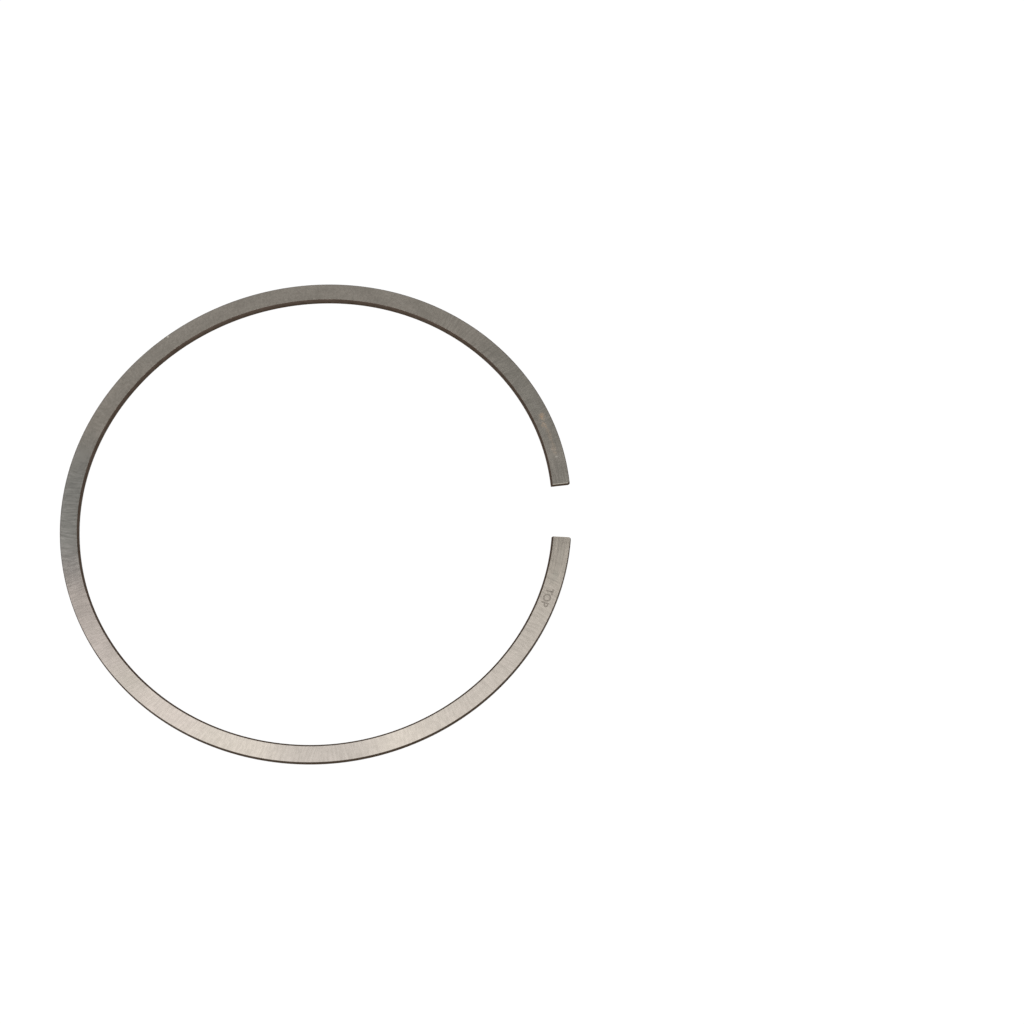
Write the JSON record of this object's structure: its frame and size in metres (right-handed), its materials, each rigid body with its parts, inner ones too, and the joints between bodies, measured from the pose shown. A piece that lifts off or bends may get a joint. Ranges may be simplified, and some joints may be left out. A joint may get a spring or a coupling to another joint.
{
  "type": "piston ring",
  "caption": "Split steel compression ring in its free state, with a barrelled running face, a bevelled upper inner edge and a square-cut gap, which seals a piston in its bore.",
  "frame": {"origin": "on the ring's axis, the centre of its back half's arc, level with its lower side", "axes": "+Z towards the piston's crown, +X towards the gap between the ends, Y across the ring"},
  "size_m": [0.089, 0.0906, 0.001],
  "materials": {
    "ring_steel": "sides ground bright, walls and ends dark from nitriding"
  },
  "bodies": {
    "root": {"piston_ring": "ring_steel"}
  },
  "joints": []
}
